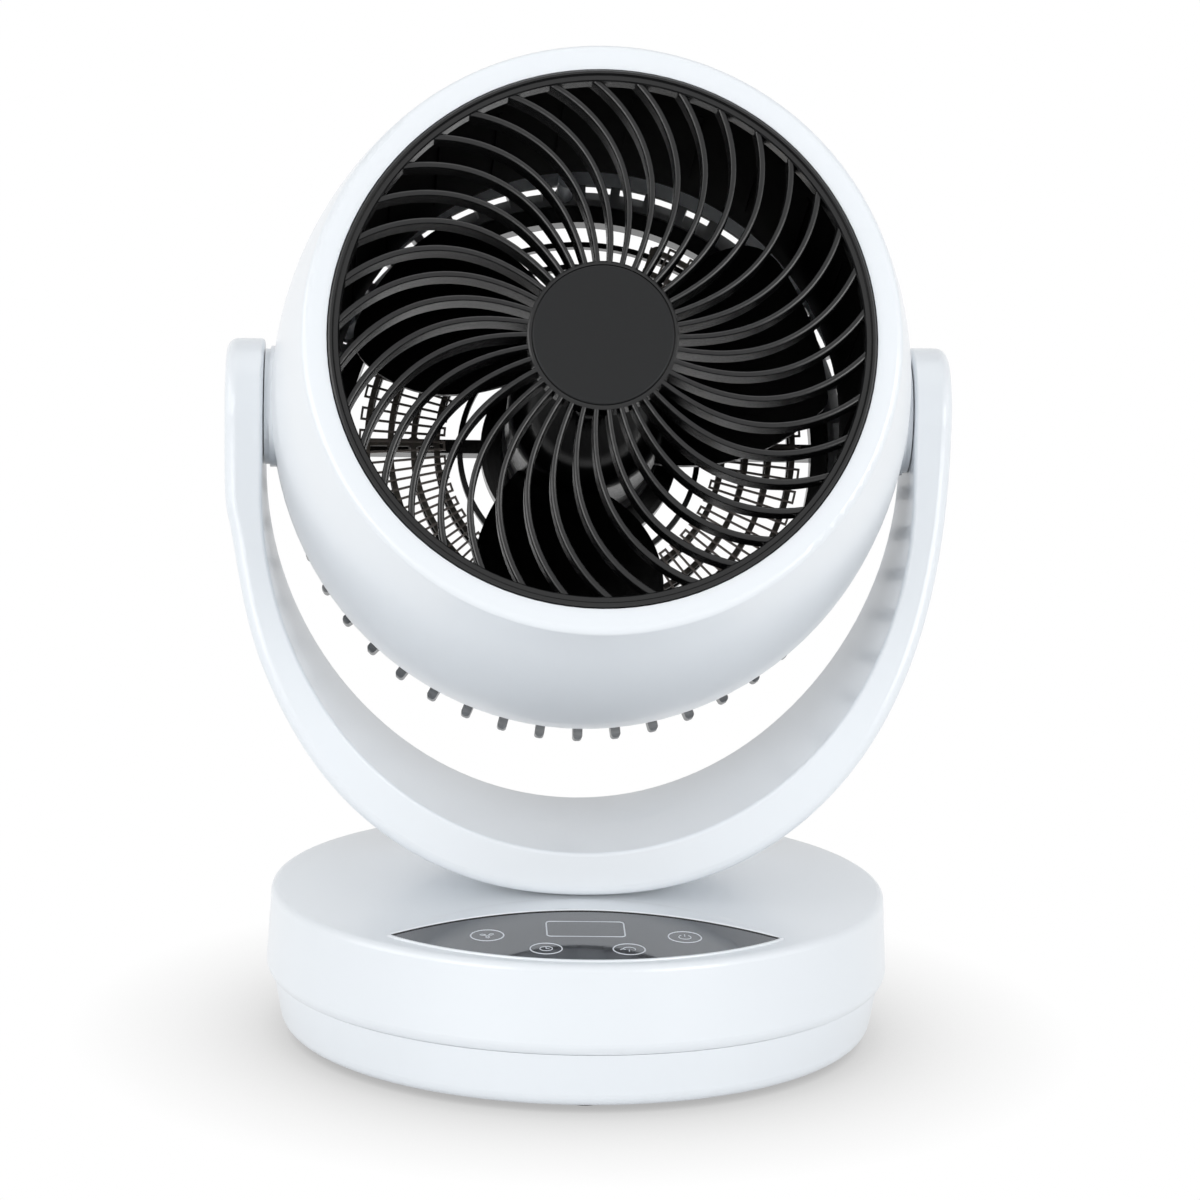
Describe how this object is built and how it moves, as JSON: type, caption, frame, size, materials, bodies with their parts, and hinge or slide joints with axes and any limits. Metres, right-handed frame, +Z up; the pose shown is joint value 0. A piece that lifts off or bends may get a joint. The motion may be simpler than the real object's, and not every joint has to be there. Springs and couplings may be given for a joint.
{
  "type": "fan heater",
  "caption": "Table-top fan heater: a deep round head with a spiral grille tilts in a U-shaped yoke that swivels on a round touch-panel base.",
  "frame": {"origin": "on the table plane, under the middle of the round base", "axes": "+Z up, -Y towards the front, where the head blows, +X to the right as seen from the front"},
  "size_m": [0.25, 0.2601, 0.3528],
  "materials": {
    "white_shell": "satin",
    "black_plastic": "satin",
    "grey_plastic": "satin",
    "dark_lens": "gloss",
    "rubber": "matte",
    "steel": "satin",
    "zinc_steel": "satin",
    "brass": "satin",
    "circuit_board": "satin",
    "display": "gloss",
    "natural_plastic": "satin",
    "mica": "matte",
    "motor_can": "satin",
    "aluminium_can": "satin"
  },
  "bodies": {
    "base": {"base_upper_shell": "white_shell", "base_lower_shell": "white_shell", "rubber_feet": "rubber", "base_screws": "zinc_steel", "ballast_plate": "steel", "control_panel_lens": "dark_lens", "panel_circuit_board": "circuit_board", "panel_board_screws": "zinc_steel", "display_module": "display", "touch_springs": "steel", "power_board": "circuit_board", "power_board_screws": "zinc_steel", "tip_over_switch": "black_plastic", "cord_gland": "black_plastic", "swivel_motor": "aluminium_can", "swivel_motor_screws": "zinc_steel", "turntable_bush": "natural_plastic"},
    "pinion": {"swivel_pinion": "natural_plastic"},
    "yoke": {"yoke_shell": "white_shell", "yoke_rear_cover": "white_shell", "yoke_cover_screws": "zinc_steel", "turntable_gear": "natural_plastic", "turntable_gear_screws": "zinc_steel", "left_pivot_bush": "natural_plastic", "right_pivot_bush": "natural_plastic", "left_pivot_cap": "white_shell", "right_pivot_cap": "white_shell"},
    "impeller": {"impeller": "black_plastic", "motor_shaft": "steel", "impeller_nut": "black_plastic"},
    "head": {"head_shell": "white_shell", "front_grille": "black_plastic", "grille_centre_cap": "black_plastic", "air_duct": "black_plastic", "duct_screws": "zinc_steel", "rear_inner_grille": "black_plastic", "rear_cover": "grey_plastic", "rear_cover_screws": "zinc_steel", "fan_motor": "motor_can", "motor_grommets": "rubber", "motor_screws": "zinc_steel", "heater_terminals": "brass", "thermal_cutout": "natural_plastic", "trunnion_screws": "zinc_steel", "left_trunnion": "white_shell", "left_friction_washer": "steel", "left_pivot_nut": "steel", "left_heater_carrier": "mica", "left_heater_wire": "steel", "right_trunnion": "white_shell", "right_friction_washer": "steel", "right_pivot_nut": "steel", "right_heater_carrier": "mica", "right_heater_wire": "steel"}
  },
  "joints": [
    {"name": "swivel", "type": "hinge", "parent": "base", "child": "yoke", "pos_m": [0, 0, 0.055], "axis": [0, 0, 1], "range_deg": [-40, 40]},
    {"name": "pinion_spin", "type": "hinge", "parent": "base", "child": "pinion", "pos_m": [0, 0.04, 0.0455], "axis": [0, 0, 1], "range_deg": [-120, 120]},
    {"name": "head_tilt", "type": "hinge", "parent": "yoke", "child": "head", "pos_m": [0, 0, 0.222], "axis": [-1, 0, 0], "range_deg": [-30, 20]},
    {"name": "fan_spin", "type": "hinge", "parent": "head", "child": "impeller", "pos_m": [0, 0, 0.222], "axis": [0, -0.9397, 0.342], "continuous": true}
  ],
  "couplings": [
    {"joint": "pinion_spin", "follows": "swivel", "ratio": -3}
  ]
}
